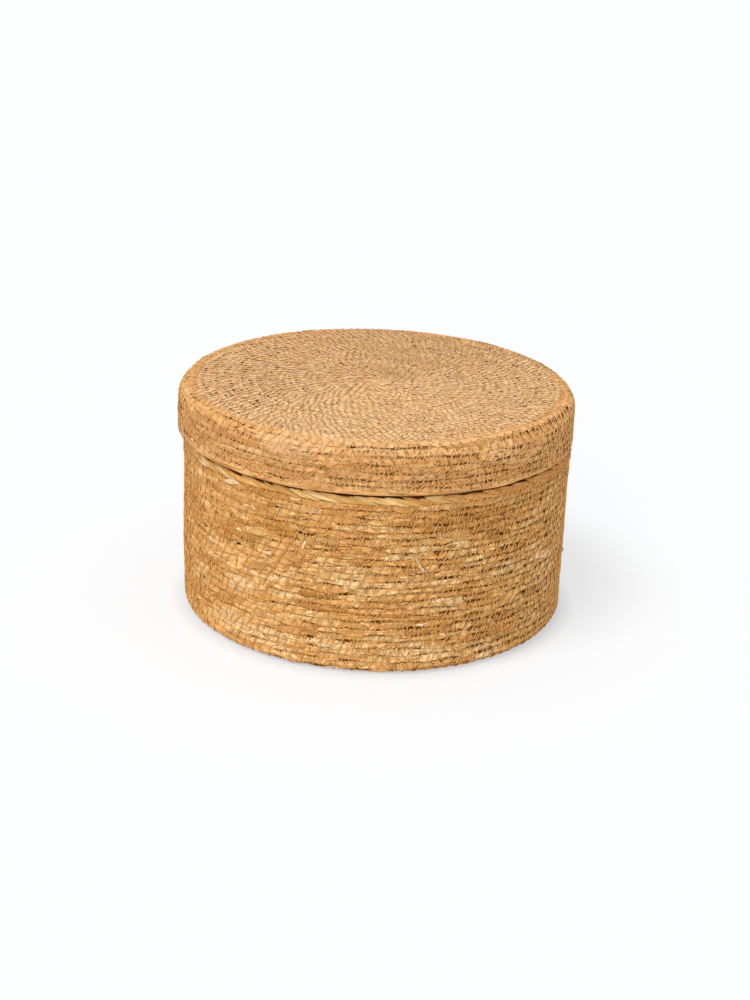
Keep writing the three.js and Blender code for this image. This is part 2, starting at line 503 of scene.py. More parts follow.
def leaf_tints(rng, run, angle, s, height, style):
    """A colour for each strip, with stretches of one tone and of paler leaf along the cord."""
    if style["palette"] != "leaf":
        few = np.array([linear(*rgb) for rgb in FEW_TINTS[style["palette"]]])
        tint = few[rng.integers(0, len(few), len(run))] * np.exp(rng.normal(0, 0.1, len(run)))[:, None]
        turned = np.degrees(angle + math.pi) % 360 - 180
        worn = np.interp(turned, (14, 36, 100, 150), (0, 1, 1, 0))[:, None] * style["worn"]
        return tint * (1 - worn) + LEAF["orange"][0] * worn
    area = paleness(angle, height, style["areas"])
    tone = 0.9 * smooth_noise(rng, run, 55 * MM) + 0.55 * patchy(angle, s)
    tone = tone + rng.normal(0, 0.4, len(run)) + area
    picked = LEAF_TINTS[np.searchsorted(np.cumsum(LEAF_SHARES), ranked(tone)).clip(0, len(LEAF) - 1)]
    pale = np.clip(smooth_noise(rng, run, 70 * MM) - 0.75, 0, 0.6) * rng.uniform(0, 1.4, len(run))
    pale = (pale + 0.4 * area.clip(0, 1)).clip(0, 0.8)[:, None]
    shade = np.exp(rng.normal(0, style["vary"], len(run)) + 0.14 * area)
    mixed = picked * (1 - pale) + CREAM * pale
    wash = style["wash"]
    return (mixed * (1 - wash) + style["wash_tint"] * wash) * shade[:, None] * style["shade"]


FOLD = 0.06 * MM  # depth of the folds along a strip
CRUMPLE = 0.06 * MM  # depth of its small dents
ACROSS_SEAM = 0.7  # strips this far off the middle of a course cross a seam
TIP_EDGE = -0.6  # edge value of a strip's tips
THREAD_DIP = 0.8 * MM  # at each needle hole
SUNK = 0.6  # millimetres by which every second strand lies lower
CORE_STEP = 8 * MM
CORE_MARGIN = 3 * MM  # left at both ends of the cord
CORE_INSET = 1.5 * MM  # of the core from the faces of the cord


def spindle(share, depth=1.0):
    """Width of a strip along its length, from -1 at one tip to 1 at the other."""
    return (1 - depth * np.abs(share) ** 2.4) ** 0.8


def strip_edges(across, under, rings, handed):
    """Edge values of a closed strip, ring after ring, and then of its two tips."""
    return np.append(np.tile(handed * across * (1 - under), rings), [TIP_EDGE, TIP_EDGE])


def shared_out(parts, count):
    """Each part with the numbers that fall to it."""
    return zip(parts, np.array_split(np.arange(count), len(parts)))


def add_strips(parts, coil, rng, side, sewing, gape, style):
    """Leaf strips that wrap the cord, each a spindle-shaped closed shell, shared out among the parts."""
    spacing = style["spacing"]
    count = int(coil.length / spacing)
    run = (np.arange(count) + 0.5 + rng.uniform(-0.35, 0.35, count)) * spacing
    longest = 1.6 * np.interp(run, coil.runs, coil.radii) + 3 * MM
    size = np.minimum(rng.uniform(*style["length"], count), longest)
    half = rng.uniform(*style["half"], count)
    lanes = np.array(style["lanes"])
    offset = lanes[np.arange(count) % len(lanes)] + rng.uniform(-1, 1, count) * style["stray"]
    crossing = np.abs(offset) > ACROSS_SEAM
    slant = rng.normal(style["slant"], style["skew"], count)
    bow = rng.normal(0, 0.7 * style["skew"], count)
    lift = rng.normal(0, style["jitter"], count)
    tilt = rng.normal(0.6 * style["tilt"], style["tilt"], count)
    peel = np.where(rng.random(count) < style["frayed"], rng.uniform(0.5, 1.8, count) * MM, 0)
    seed = rng.uniform(0, 10, count)
    begun = coil.turn_at(run)
    begun_s = coil.seam(begun)
    begun_height = coil.profile.at(begun_s, 0)[1]
    tint = leaf_tints(rng, run, coil.lap + TURN * begun, begun_s, begun_height, style)
    rings, top = style["rings"], np.linspace(-1, 1, style["section"])
    across = np.append(top, 0)
    under = np.append(np.zeros(len(top)), 1)
    along = np.linspace(-1, 1, rings + 2)
    taper = spindle(along)
    crumple = rng.normal(0, CRUMPLE, (count, rings, len(across)))
    crumple[..., -1] = 0
    folds = rng.normal(0, FOLD, (count, 1, len(across)))
    reach = np.where(crossing, 1.5, style["spread"])

    def place(group, a, taper_a, b, under_b, relief):
        """Points at shares a along and b across the strips, and the marks of the seams beside them."""

        def each(values):
            return values[group, None, None]

        turn = coil.turn_at(each(run) + a * each(size) / 2)
        low, high = coil.edges(turn)
        position = each(offset) + each(slant) * a + each(bow) * (a * a - 0.4) + each(half) * taper_a * b
        position = np.clip(position, -each(reach), each(reach))
        s = (low + high) / 2 + position * (high - low) / 2
        s = np.clip(s, coil.start - 0.3 * MM, coil.start + coil.span + 0.3 * MM)
        height = coil.skin(position) + (style["dome"] * (1 - b**2) + relief) * taper_a
        height = height - style["tuck"] * (1 - taper_a) ** 2 - style["tuck"] * under_b - 0.12 * MM * b**4
        height = height + each(lift) - each(tilt) * b + each(peel) * np.clip(a, 0, 1) ** 2
        height = height - style["pinch"] * sewing.pull(turn, s)
        seams = (
            sewing.mark(beside, s, gape.at(beside) * each(1 - crossing) / MM) for beside in (turn - 1, turn)
        )
        return [coil.point(turn, s, side * height), *seams]

    inner = along[1:-1]
    ring = (inner[None, :, None], taper[1:-1][None, :, None], across, under)
    edge = strip_edges(across, under, rings, style["handed"])
    grain_along = np.concatenate([np.repeat(inner, len(across)), [-1, 1]])
    grain_across = np.concatenate([np.tile(across, rings), [0, 0]])
    for data, group in shared_out(parts, count):
        members = len(group)
        body = place(group, *ring, crumple[group] + folds[group])
        tips = place(group, along[[0, -1]][None, :, None], 0.0, np.zeros(1), 0.0, 0.0)
        points, *seams = (
            np.concatenate([main.reshape(members, -1, 3), end.reshape(members, -1, 3)], 1).reshape(-1, 3)
            for main, end in zip(body, tips)
        )
        size_each = len(points) // members
        tints = np.column_stack([np.repeat(tint[group], size_each, 0), np.tile(edge, members)])
        grains = (
            run[group, None] + grain_along * size[group, None] / 2,
            grain_across[None, :] * half[group, None] * coil.advance / 2,
            np.repeat(seed[group, None], size_each, 1),
        )
        faces = ring_faces(members, rings, len(across), flip=side * style["handed"] > 0)
        data.add(points, tints, np.stack(grains, -1).reshape(-1, 3), *faces, *seams)


def add_core(data, coil):
    """The inside of the cord, painted dark brown as the shade that shows between the strips, and paler where
    a coil ends.
    """
    run = np.arange(CORE_MARGIN, coil.length - CORE_MARGIN, CORE_STEP)
    turn = coil.turn_at(run)[:, None]
    low, high = coil.edges(turn)
    across = np.array([-1, -0.6, 0.6, 1, 0.6, -0.6])
    level = np.array([0, 1, 1, 0, -1, -1]) * (coil.cord / 2 - CORE_INSET)
    s = (low + high) / 2 + across * (high - low) / 2
    points = coil.point(turn, s, level)
    from_edge = np.minimum(coil.start + coil.span - s, np.inf if coil.start == 0 else s - coil.start)
    bound = np.clip(1.25 - 2.5 * from_edge / coil.advance, 0, 1).reshape(-1, 1) * (coil.courses > 1)
    rings, sides, _ = points.shape
    count = rings * sides
    quads, _ = ring_faces(1, rings, sides, closed_ends=False)
    last = count - sides
    caps = [[0, 5, 4, 3], [3, 2, 1, 0], [last, last + 1, last + 2, last + 3]]
    caps.append([last + 3, last + 4, last + 5, last])
    grains = np.zeros((count, 3))
    grains[:, 0] = np.repeat(run, sides)
    quads = np.concatenate([quads, caps])[:, :: -coil.profile.outward]
    tints = np.pad(CORE_SHADE_TINT * (1 - bound) + EDGE_TINT * bound, ((0, 0), (0, 1)))
    data.add(points.reshape(-1, 3), tints, grains, quads)


def add_tube(data, centres, outward, radius, sides, tint, seed):
    """A round thread through the given points, closed at both ends."""
    tangent = np.gradient(centres, axis=0)
    tangent /= np.linalg.norm(tangent, axis=1)[:, None]
    across = np.cross(tangent, outward)
    across /= np.linalg.norm(across, axis=1)[:, None]
    upward = np.cross(across, tangent)
    angle = np.arange(sides) * TURN / sides
    ring = np.cos(angle)[None, :, None] * upward[:, None] + np.sin(angle)[None, :, None] * across[:, None]
    points = (centres[:, None] + radius * ring).reshape(-1, 3)
    points = np.concatenate([points, centres[[0, -1]]])
    travel = np.concatenate([[0], np.cumsum(np.linalg.norm(np.diff(centres, axis=0), axis=1))])
    grains = np.full((len(points), 3), seed, float)
    grains[:-2, 0] = np.repeat(travel, sides)
    # Painted shade: the thread is tinted darker and browner towards its underside, where it lies in shade.
    low = (1 - np.cos(angle))[:, None] / 2 * np.array((0.4, 0.55, 0.7))
    tints = (np.broadcast_to(tint, centres.shape)[:, None] * (1 - low)).reshape(-1, 3)
    tints = np.concatenate([tints, tints[[0, -1]]])
    tints = np.pad(tints, ((0, 0), (0, 1)))
    data.add(points, tints, grains, *ring_faces(1, len(centres), sides))


def add_line(data, coil, turn, s, height, *thread):
    """A thread over the outer face of a coil, given by its radius, sides, tint and seed."""
    centres = coil.point(turn, s, height)
    add_tube(data, centres, coil.point(turn, s, height + MM) - centres, *thread)


def add_thread(parts, sewing, rng, side, tint, ride, steps, sides, painted_side_light=0.0):
    """The sewing thread as a tube that dips into each needle hole, shared out among the parts."""
    coil = sewing.coil
    count = len(sewing.holes) - 1
    share = np.arange(steps) / steps
    sunk = rng.normal(0, 0.07 * sewing.loose, count)
    sunk[sewing.sunken :: 2] += SUNK
    for data, group in shared_out(parts, count):
        turn = (sewing.holes[group, None] * (1 - share) + sewing.holes[group + 1, None] * share).ravel()
        s = sewing.zigzag(turn)
        across = np.abs(s - sewing.seam(turn)) / (coil.advance / 2)
        dip = np.tile(THREAD_DIP * np.exp(-((np.minimum(share, 1 - share) / 0.1) ** 2)), len(group))
        height = coil.skin(1 - across) + ride - dip - np.repeat(sunk[group], steps) * MM
        centres = coil.point(turn, s, side * height)
        outward = coil.point(turn, s, side * (height + MM)) - centres
        # Painted light: the thread is tinted paler towards the box's left and right sides, most at the
        # right, where light catches it.
        shade = 1 + painted_side_light * np.abs(np.clip(centres[:, :1], -0.05, 0.15))
        add_tube(data, centres, outward, THREAD_RADIUS, sides, tint * shade, rng.uniform(0, 10))


# Materials

BLOTCHES = 160.0  # scale of the noise that mottles the leaf
DRIFT = 7.0  # millimetres between the furthest places that a gap strays to
SUNK_FADE = 0.35  # millimetres by which a sunken strand counts as further off
GLOSS = 0.06
BUMP_DEPTH = 0.4 * MM


def nodes_of(name):
    material = bpy.data.materials.new(name)
    material.use_nodes = True
    tree = material.node_tree
    shader = tree.nodes["Principled BSDF"]
    return material, tree, shader


def add_node(tree, kind, inputs=(), **settings):
    node = tree.nodes.new(f"ShaderNode{kind}")
    for key, value in settings.items():
        setattr(node, key, value)
    for key, value in dict(inputs).items():
        if isinstance(value, bpy.types.NodeSocket):
            tree.links.new(value, node.inputs[key])
        else:
            node.inputs[key].default_value = value
    return node


def calc(tree, operation, *values):
    return add_node(tree, "Math", dict(enumerate(values)), operation=operation).outputs[0]


def calc_each(tree, operation, *values):
    """The same for the three values of a vector or colour."""
    return add_node(tree, "VectorMath", dict(enumerate(values)), operation=operation).outputs[0]


def ramp(tree, value, source, target, **settings):
    """One range of values mapped to another, and held at its ends."""
    ends = {"From Min": source[0], "From Max": source[1], "To Min": target[0], "To Max": target[1]}
    return add_node(tree, "MapRange", {"Value": value, **ends}, **settings).outputs["Result"]


def noise(tree, inputs, **settings):
    return add_node(tree, "TexNoise", inputs, **settings).outputs["Fac"]


def attribute(tree, name):
    return add_node(tree, "Attribute", attribute_name=name).outputs


def seam_marks(tree, name, sewing):
    """In millimetres: how far off a seam's thread, the gap between its courses and its needle holes are."""
    count, off, open_by = add_node(tree, "SeparateXYZ", {0: attribute(tree, name)["Vector"]}).outputs
    reach = sewing.reach / MM
    line = calc(tree, "MULTIPLY_ADD", calc(tree, "PINGPONG", count, 1.0), 2 * reach, -reach)
    apart = calc(tree, "SUBTRACT", off, line)
    thread = calc(tree, "MULTIPLY", calc(tree, "ABSOLUTE", apart), sewing.lean)
    strand = calc(tree, "FLOOR", calc(tree, "MODULO", calc(tree, "ADD", count, 1 - sewing.sunken), 2.0))
    thread = calc(tree, "MULTIPLY_ADD", strand, SUNK_FADE, thread)
    share = calc(tree, "FRACT", calc(tree, "ADD", count, 0.5))
    bulge = calc(tree, "MULTIPLY", share, calc(tree, "SUBTRACT", 1.0, share))
    lens = calc(tree, "MINIMUM", calc(tree, "MULTIPLY", bulge, 9.0), 1.0)
    wander = noise(tree, {"W": calc(tree, "MULTIPLY", count, 0.7), "Detail": 2.0}, noise_dimensions="1D")
    shifted = calc(tree, "MULTIPLY_ADD", wander, DRIFT, calc(tree, "SUBTRACT", off, DRIFT / 2))
    gap = calc(tree, "SUBTRACT", calc(tree, "ABSOLUTE", shifted), calc(tree, "MULTIPLY", lens, open_by))
    along = calc(tree, "MULTIPLY", calc(tree, "SUBTRACT", share, 0.5), 0.3 * sewing.stitch / MM)
    squares = (calc(tree, "POWER", length, 2.0) for length in (along, shifted))
    hole = calc(tree, "SQRT", calc(tree, "ADD", *squares))
    return thread, gap, calc(tree, "SUBTRACT", hole, open_by)


def fibre_material(
    name, along, across, contrast, bump, roughness, rim=0.6, sewing=None, crease_shade=0.0, gap_shade=1.0, hole_shade=0.0,
    soft=(0.3, 0.8), warm=(-0.48, -0.6, -0.76), shade_left_right=(1.0, 1.0),
):
    """Dry leaf in a strip's own colour, with streaks that run along it.

    Painted shade darkens it: at the strip's edges by rim, most at the lower edge where a strip's shadow
    falls; beside the thread by the crease shade; in gaps and in needle holes by the gap and hole shades.
    Soft is where the leaf swells beside the thread, in millimetres. Warm is what a darker place loses of
    each colour, so that painted shade is a deeper brown. The left and right pair scales the painted shade
    beside the thread, and up to one the painted edge shade and the bump beside the thread, from the box's
    left to its right: more at the right, the side turned from the key light.
    """
    material, tree, shader = nodes_of(name)
    strip = attribute(tree, "tint")
    stretch = calc_each(tree, "MULTIPLY", attribute(tree, "grain")["Vector"], (along, across, 1))
    streak = noise(tree, {"Vector": stretch, "Scale": 1.0, "Detail": 3.0, "Roughness": 0.6})
    place = add_node(tree, "TexCoord").outputs["Object"]
    blotch = noise(tree, {"Vector": place, "Scale": BLOTCHES, "Detail": 2.0, "Roughness": 0.5})
    both = calc(tree, "ADD", streak, blotch)
    # Painted shade at the strip's edges: a dark line along the lower edge as the shadow under a strip, a
    # fainter one along the upper edge, broken up by the blotches.
    upper = ramp(tree, strip["Alpha"], (0.8, 1.0), (0.0, 0.35 * rim))
    lower = ramp(tree, strip["Alpha"], (-0.5, -0.9), (0.0, rim))
    broken = ramp(tree, blotch, (0.38, 0.58), (0.1, 1.2))
    painted_edge_shade = calc(tree, "MULTIPLY_ADD", lower, broken, upper)
    # More painted shade towards the right, the side turned from the key light, and less at the left.
    right = add_node(tree, "SeparateXYZ", {0: place}).outputs["X"]
    side_shade_scale = ramp(tree, right, (-0.13, 0.14), shade_left_right)
    side_shade_capped = calc(tree, "MINIMUM", side_shade_scale, 1.0)
    mottle = ramp(tree, both, (0.7, 1.3), (contrast, -contrast))
    dark = calc(tree, "MULTIPLY_ADD", painted_edge_shade, side_shade_capped, mottle)
    raised = streak
    if sewing:
        below, above = (seam_marks(tree, seam, sewing) for seam in ("seam_below", "seam_above"))
        near, gap, hole = (calc(tree, "MINIMUM", *pair) for pair in zip(below, above))
        # Painted shade beside the thread, in the crease where it holds the leaf down, and a little paler on
        # the swells between.
        puff = ramp(tree, near, soft, (0.0, 1.0), interpolation_type="SMOOTHSTEP")
        painted_crease_shade = ramp(tree, puff, (0.0, 1.0), (crease_shade, -0.06))
        dark = calc(tree, "MULTIPLY_ADD", painted_crease_shade, side_shade_scale, dark)
        raised = calc(tree, "MULTIPLY_ADD", puff, side_shade_capped, streak)
    tone = calc_each(tree, "MULTIPLY_ADD", dark, warm, (1, 1, 1))
    colour = calc_each(tree, "MULTIPLY", strip["Color"], tone)
    if sewing:
        # Painted shade in gaps and needle holes: darker and browner, as the shade inside them.
        painted_gap_shade = ramp(tree, gap, (0.05, -0.25), (0.0, gap_shade))
        painted_gap_and_hole_shade = calc(tree, "MAXIMUM", painted_gap_shade, ramp(tree, hole, (0.35, -0.2), (0.0, hole_shade)))
        shade = calc_each(tree, "MULTIPLY_ADD", painted_gap_and_hole_shade, (-0.84, -0.91, -0.96), (1, 1, 1))
        colour = calc_each(tree, "MULTIPLY", colour, shade)
    tree.links.new(colour, shader.inputs["Base Color"])
    shine = ramp(tree, streak, (0.3, 0.7), (roughness + 0.08, roughness - 0.08))
    tree.links.new(shine, shader.inputs["Roughness"])
    ridges = {"Height": raised, "Strength": bump, "Distance": BUMP_DEPTH}
    tree.links.new(add_node(tree, "Bump", ridges).outputs["Normal"], shader.inputs["Normal"])
    shader.inputs["Specular IOR Level"].default_value = GLOSS
    return material


twine = fibre_material("sewing_thread", along=900, across=900, contrast=0.3, bump=0.4, roughness=0.7)
core_fibre = fibre_material("cord_core", along=300, across=300, contrast=0.2, bump=0.3, roughness=0.85)
rim_leaf = fibre_material(
    "rim_leaf", along=60, across=1500, contrast=0.35, bump=0.6, roughness=0.62, rim=1.4
)

# Kinds of strips. Their half widths, lanes, stray, slant, skew and spread are shares of a course's half.
BODY_SHADE = np.array((1.0, 1.0, 0.95))
BODY_WRAPS = dict(
    spacing=14 * MM, length=(24 * MM, 42 * MM), half=(0.95, 1.15), lanes=(0,), stray=0.12, slant=0.0,
    skew=0.1, spread=1.12, jitter=0.08 * MM, tilt=0.12 * MM, frayed=0.0, dome=0.12 * MM, tuck=0.7 * MM,
    pinch=0.12 * MM, rings=14, section=4, wash=0.0, wash_tint=SKIRT_WASH, palette="leaf", vary=0.07,
    shade=0.96 * BODY_SHADE, handed=1, worn=0.0, areas=WALL_AREAS,
)
BODY_PATCHES = dict(
    BODY_WRAPS, spacing=5.5 * MM, length=(9 * MM, 23 * MM), half=(0.45, 0.85),
    lanes=(-0.35, 0.3, 0.0, 0.8, -0.1, -0.6), stray=0.22, skew=0.2, jitter=0.18 * MM, tilt=0.32 * MM,
    frayed=0.02, dome=0.28 * MM, tuck=0.5 * MM, pinch=0.18 * MM, rings=9, shade=1.02 * BODY_SHADE,
)
BODY_FLECKS = dict(
    BODY_PATCHES, spacing=38 * MM, length=(4 * MM, 10 * MM), half=(0.1, 0.26),
    lanes=(-0.7, 0.2, 0.8, -0.3), stray=0.4, skew=0.3, frayed=0.12, rings=5, section=3, palette="fleck",
)
LID_LEAF = dict(wash=0.4, handed=-1, shade=np.array((0.96, 0.905, 0.86)), areas=LID_AREAS)
LID_WRAPS = {**BODY_WRAPS, **LID_LEAF}
LID_PATCHES = {**BODY_PATCHES, **LID_LEAF}
LID_PATCHES.update(length=(14 * MM, 34 * MM), rings=11, spacing=8 * MM, skew=0.14)
LID_FLECKS = {**BODY_FLECKS, **LID_LEAF}
TOP_LEAF = dict(
    wash=0.5, wash_tint=TOP_WASH, shade=np.array((1.03, 1.06, 1.08)), vary=0.06, pinch=0.16 * MM,
    dome=0.1 * MM, jitter=0.06 * MM, tilt=0.06 * MM,
)
TOP_WRAPS = {**LID_WRAPS, **TOP_LEAF}
TOP_PATCHES = {**LID_PATCHES, **TOP_LEAF}
RIM_WRAPS = dict(
    BODY_PATCHES, spacing=6.5 * MM, length=(20 * MM, 30 * MM), half=(0.4, 0.65), lanes=(0,), stray=0.15,
    slant=-0.8, skew=0.1, spread=1.0, dome=0.55 * MM, tilt=0.5 * MM, tuck=1.2 * MM, pinch=0.0,
    palette="rim", worn=1.0, frayed=0.0, rings=16, section=5,
)


def lining_of(style):
    return {**style, "rings": 5, "section": 3, "spacing": 1.25 * style["spacing"]}


# Painted gap shade leans to the right, the side turned from the key light; for the lid's top, to both its
# sides.
def more_at_right(angle, share):
    return 1.5 * np.sin(angle) - 0.8 * np.clip(3 * share - 2, 0, 1)


def some_at_right(angle, share):
    return 1.35 * np.sin(angle)


def more_at_sides(angle, share):
    return 1.5 * np.abs(np.sin(angle)) * np.clip(2 * share, 0, 1)


# What each coil is made of: its strips, stitches, gaps, thread and finish
BODY_FINISH = dict(contrast=0.4, bump=0.8, roughness=0.66, crease_shade=0.32, rim=1.3, shade_left_right=(0.1, 2.8))
BODY_MAKE = {
    "styles": (BODY_WRAPS, BODY_PATCHES, BODY_FLECKS),
    "sewn": dict(stitch=BODY_STITCH, reach=BODY_REACH, sunken=1, loose=1.7),
    "gaps": dict(share=0.75, most=1.15 * MM, lean=more_at_right),
    "thread": dict(tint=THREAD_TINT, ride=0.42 * MM, painted_side_light=0.7, steps=6, sides=4),
    "finish": BODY_FINISH,
}
PLAIN_MAKE = {
    **BODY_MAKE,
    "styles": (lining_of(BODY_WRAPS), lining_of(BODY_PATCHES)),
    "thread": dict(tint=THREAD_TINT, ride=0.42 * MM, steps=4, sides=3),
}
SKIRT_MAKE = {
    "styles": (LID_WRAPS, LID_PATCHES, LID_FLECKS),
    "sewn": dict(stitch=LID_STITCH, reach=LID_REACH, sunken=0),
    "gaps": dict(share=0.75, most=1.1 * MM, lean=some_at_right, single=0.9),
    "thread": dict(tint=linear(236, 188, 122), ride=0.36 * MM, painted_side_light=0.8, steps=6, sides=4),
    "finish": dict(BODY_FINISH, roughness=0.68, crease_shade=0.42, rim=1.1, shade_left_right=(0.75, 3.0)),
}
TOP_FINISH = dict(contrast=0.36, bump=1.0, roughness=0.7, crease_shade=1.0, gap_shade=0.2, hole_shade=1.0)
TOP_FINISH.update(soft=(0.3, 1.05), warm=(-0.42, -0.66, -0.88))
TOP_MAKE = {
    "styles": (TOP_WRAPS, TOP_PATCHES),
    "sewn": dict(stitch=TOP_STITCH, reach=LID_REACH, sunken=1, loose=1.8),
    "gaps": dict(share=0.14, most=1.3 * MM, lean=more_at_sides, single=1.5),
    "thread": dict(tint=linear(238, 198, 152), ride=0.24 * MM, steps=4, sides=4),
    "finish": TOP_FINISH,
}

# Single strips: how many rings they have, and five points of a ring, the last of them underneath
SLIP_RINGS = 25
SLIP_ACROSS = np.array([-1, -0.4, 0.4, 1, 0])
SLIP_UNDER = np.array([0, 0, 0, 0, 1])
CAP_STRIPS = 9
CAP_RINGS = 9
CAP_REACH = 9 * MM  # of a cap's strips from the centre


def add_leaf(data, points, tint, handed, flip, ahead, aside, tip_grain, seams=()):
    """One closed strip from rings of points, with the grain that runs ahead and aside."""
    rings, sides, _ = points.shape
    points, *seams = (
        np.concatenate([values.reshape(-1, 3), values[[0, -1], 1]]) for values in (points, *seams)
    )
    edge = strip_edges(SLIP_ACROSS, SLIP_UNDER, rings, handed)
    tints = np.column_stack([np.tile(tint, (len(points), 1)), edge])
    grains = np.tile(np.array(tip_grain, float), (len(points), 1))
    grains[:-2, 0] = ahead.ravel()
    grains[:-2, 1] = aside.ravel()
    data.add(points, tints, grains, *ring_faces(1, rings, sides, flip), *seams)


def add_cap(data, coil, rng, side, style):
    """Short strips laid across the centre of a flat coil."""
    share = np.linspace(-1, 1, CAP_RINGS)[:, None]
    across, under = SLIP_ACROSS, SLIP_UNDER
    for number in range(CAP_STRIPS):
        heading = number * 2.4 + rng.uniform(-0.2, 0.2)
        ahead = CAP_REACH * share + 0 * across
        aside = rng.uniform(-2, 2) * MM + 2.4 * MM * spindle(share, 0.9) * across
        x = ahead * math.cos(heading) - aside * math.sin(heading)
        y = ahead * math.sin(heading) + aside * math.cos(heading)
        lift = coil.skin(0) + (0.1 + 0.25 * (1 - across**2) - 0.7 * under - 0.35 * share**2) * MM
        turn = (np.arctan2(x, -y) - coil.lap) / TURN
        points = coil.point(turn, np.hypot(x, y), side * lift)
        tint = LEAF_TINTS[rng.integers(1, 4)] * (1 - style["wash"]) + TOP_WASH * style["wash"]
        add_leaf(data, points, tint, 1, side * style["handed"] < 0, ahead, aside, [number] * 3)


def dress(name, node, body, coil, seed, make, pieces=1, lowest=None):
    """The strips, core and thread of one coil, which stand for its solid."""
    rng = np.random.default_rng(seed)
    sewn = (0.5, coil.courses - 0.45)
    front, back = (Sewing(coil, rng, sewn, **make["sewn"]) for _ in range(2))
    gape, back_gape = (Gape(sewing, rng, **make["gaps"]) for sewing in (front, back))
    leaf = fibre_material(f"{name}_leaf", along=70, across=1500, sewing=front, **make["finish"])
    strips = [MeshData() for _ in range(pieces)]
    threads = [MeshData() for _ in range((pieces + 1) // 2)]
    lining, heart = MeshData(), MeshData()
    for style in make["styles"]:
        add_strips(strips, coil, rng, 1, front, gape, style)
    wraps = make["styles"][0]
    add_strips([lining], coil, rng, -1, back, back_gape, lining_of(wraps))
    if coil.start == 0 and coil.profile.place[0][0] == 0:
        add_cap(strips[0], coil, rng, 1, wraps)
        add_cap(lining, coil, rng, -1, wraps)
    add_core(heart, coil)
    add_thread(threads, front, rng, 1, **make["thread"])
    add_thread(threads, back, rng, -1, make["thread"]["tint"], ride=0.12 * MM, steps=3, sides=3)
    made = [(f"{name}_strips_{number}", part, leaf) for number, part in enumerate(strips, 1)]
    made += [(f"{name}_lining", lining, leaf), (f"{name}_core", heart, core_fibre)]
    made += [(f"{name}_thread_{number}", part, twine) for number, part in enumerate(threads, 1)]
    for title, data, material in made:
        piece = data.build(title, material, body, lowest)
        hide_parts(node)
    return front, leaf


# Pieces
FLOOR = base_low.z
dress("base", "base_disc", "box", base, 11, PLAIN_MAKE, lowest=FLOOR)
wall_sewing, wall_leaf = dress(
    "wall", "wall_coil", "box", wall, 12, BODY_MAKE, pieces=6, lowest=FLOOR
)
dress("neck", "neck_coil", "box", neck, 13, PLAIN_MAKE)
top_sewing, _ = dress("lid_top", "lid_top_coil", "lid", lid_top, 14, TOP_MAKE, pieces=8)
lid_sewing, lid_leaf = dress(
    "lid_skirt", "lid_skirt_coil", "lid", lid_skirt, 15, SKIRT_MAKE, pieces=3
)

RIM_BULGE = 0.6 * MM  # by which the rim cord stands out from the wall and reaches down over it


def rim_swell(angle, height):
    return body_swell(angle, height) + RIM_BULGE


def rim_rope():
    """The pale cord under the lid: long strips of leaf that wind round it."""
    rng = np.random.default_rng(21)
    stretch = (RIM_EDGE - RIM_BULGE, body_profile.length)
    look = {**body_look, "valley": 0.5 * MM, "swell": rim_swell}
    hoop = Hoop(body_profile, *stretch, stretch[1] - stretch[0], **look)
    loose = Sewing(hoop, rng, (0, 0.01), BODY_STITCH, 1, 1)
    closed = Gape(loose, rng, 0.1, 0.0, even)
    made = []
    for name, side in (("rim_strips", 1), ("rim_lining", -1)):
        data = MeshData()
        add_strips([data], hoop, rng, side, loose, closed, RIM_WRAPS)
        made.append(data.build(name, rim_leaf, "box"))
    heart = MeshData()
    add_core(heart, hoop)
    made.append(heart.build("rim_core", core_fibre, "box"))
    for piece in made:
        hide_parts("rim_cord")


rim_rope()


def seam_threads():
    """The thread of the level seams, where one coil meets the next."""
    rng = np.random.default_rng(31)
    for name, body, coil, place, stitch, reach, slot in (
        ("base_seam_thread", "box", wall, BASE_EDGE, BODY_STITCH, 1.5, "body_fibre"),
        ("rim_seam_thread", "box", wall, RIM_EDGE, BODY_STITCH, 1.65, "rim_fibre"),
        ("lid_seam_thread", "lid", lid_skirt, CORNER_EDGE, LID_STITCH, 0.9, "lid_fibre"),
    ):
        data = MeshData()
        turns = (coil.courses // 2, coil.courses // 2 + 1)
        sewing = Sewing(coil, rng, turns, stitch, reach, 1, lambda turn: np.full_like(turn, place))
        add_thread([data], sewing, rng, 1, THREAD_TINT, ride=0.3 * MM, steps=6, sides=5)
        piece = data.build(name, twine, body, FLOOR)


seam_threads()


def slanting_stitches(name, body, coil, stretch, angles, lean, rise, tint):
    """Single stitches between two lengths along the profile, each begun at one of the angles."""
    rng = np.random.default_rng(41)
    data = MeshData()
    share = np.linspace(0, 1, 7)
    for angle in angles + rng.uniform(-0.2, 0.2, len(angles)) * np.diff(angles).mean():
        turn = (angle - coil.lap) / TURN + lean * share
        s = np.interp(share, (0, 1), stretch) + rng.normal(0, 0.3) * MM
        height = coil.skin(0) + np.interp(share, (0, 1), rise) - 1.1 * MM * np.abs(2 * share - 1) ** 6
        add_line(data, coil, turn, s, height, 0.34 * MM, 5, tint, rng.uniform(0, 10))
    data.build(name, twine, body)


CORNER_STITCHES = 139
slanting_stitches(
    "lid_corner_thread", "lid", lid_skirt,
    stretch=(SKIRT_EDGE - 15 * MM, SKIRT_EDGE - 6 * MM),
    angles=np.arange(CORNER_STITCHES) * TURN / CORNER_STITCHES, lean=0.0054,
    rise=(0.55 * MM, 0.55 * MM), tint=linear(236, 196, 142),
)
slanting_stitches(
    "rim_thread", "box", wall, stretch=(RIM_EDGE - 4 * MM, RIM_EDGE + 5 * MM),
    angles=np.radians(np.arange(14, 76, 2.2)), lean=0.0042, rise=(0.7 * MM, 2.8 * MM),
    tint=1.1 * THREAD_TINT,
)


